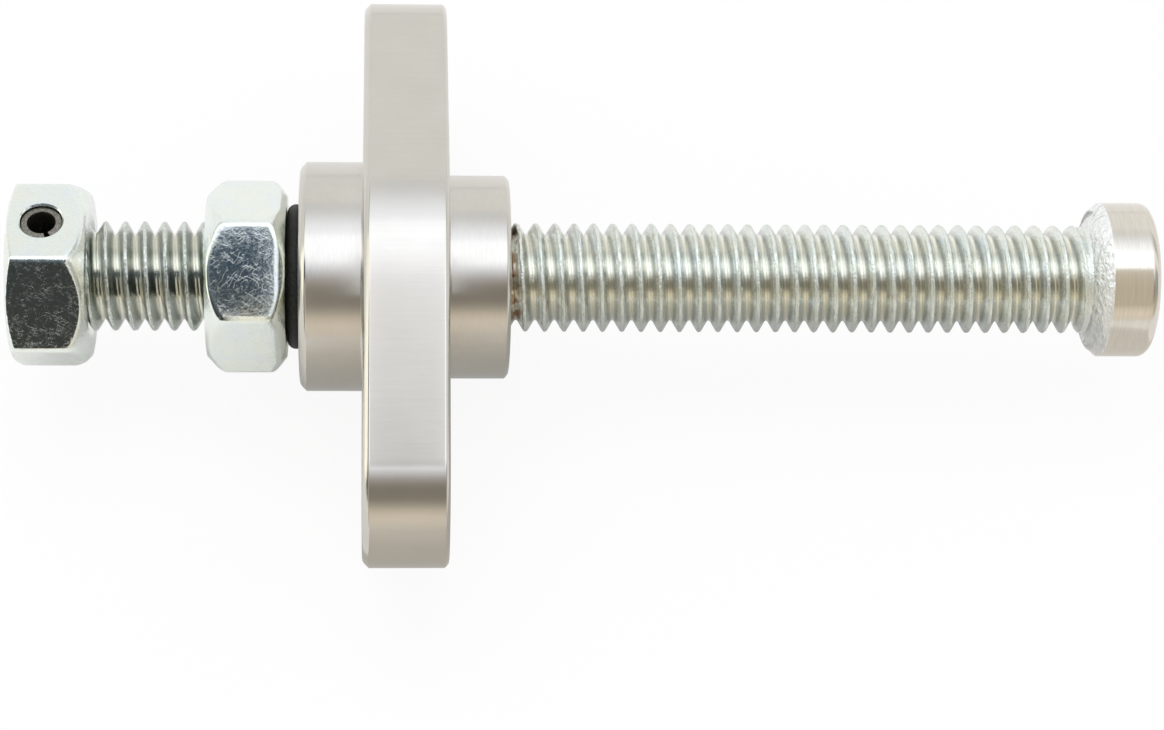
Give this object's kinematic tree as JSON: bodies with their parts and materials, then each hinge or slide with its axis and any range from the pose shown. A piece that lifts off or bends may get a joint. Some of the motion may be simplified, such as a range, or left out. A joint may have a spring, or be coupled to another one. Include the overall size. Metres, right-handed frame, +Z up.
{
  "type": "cam chain tensioner",
  "caption": "Two-ear aluminium flange on a spigot, with a long threaded adjuster, a lock nut and a round pusher tip.",
  "frame": {"origin": "centre of the flange's mounting face, on the adjuster's axis", "axes": "+X along the adjuster into the engine, +Y through the flange's two bolt holes, +Z up"},
  "size_m": [0.0827, 0.045, 0.022],
  "materials": {
    "housing_metal": "satin, turned and milled",
    "adjuster_steel": "zinc plated, pusher turned bare",
    "head_nut_plating": "bright zinc plating",
    "pin_steel": "plain spring steel",
    "lock_nut_plating": "bright zinc plating",
    "seal_rubber": "matt black"
  },
  "bodies": {
    "housing": {"housing": "housing_metal"},
    "seal": {"o_ring": "seal_rubber"},
    "adjuster": {"adjuster_bolt": "adjuster_steel", "head_nut": "head_nut_plating", "roll_pin": "pin_steel"},
    "lock_nut": {"lock_nut": "lock_nut_plating"}
  },
  "joints": [
    {"name": "adjuster_turn", "type": "hinge", "parent": "housing", "child": "seal", "pos_m": [0, 0, 0], "axis": [1, 0, 0], "range_deg": [-10800, 2088]},
    {"name": "adjuster_travel", "type": "slide", "parent": "seal", "child": "adjuster", "axis": [1, 0, 0], "range_m": [-0.04234, 0.00819]},
    {"name": "lock_nut_turn", "type": "hinge", "parent": "housing", "child": "lock_nut", "pos_m": [-0.01446, 0, 0], "axis": [1, 0, 0], "range_deg": [-270, 0]}
  ],
  "couplings": [
    {"joint": "adjuster_travel", "follows": "adjuster_turn", "m_per_rad": 0.00022459}
  ]
}
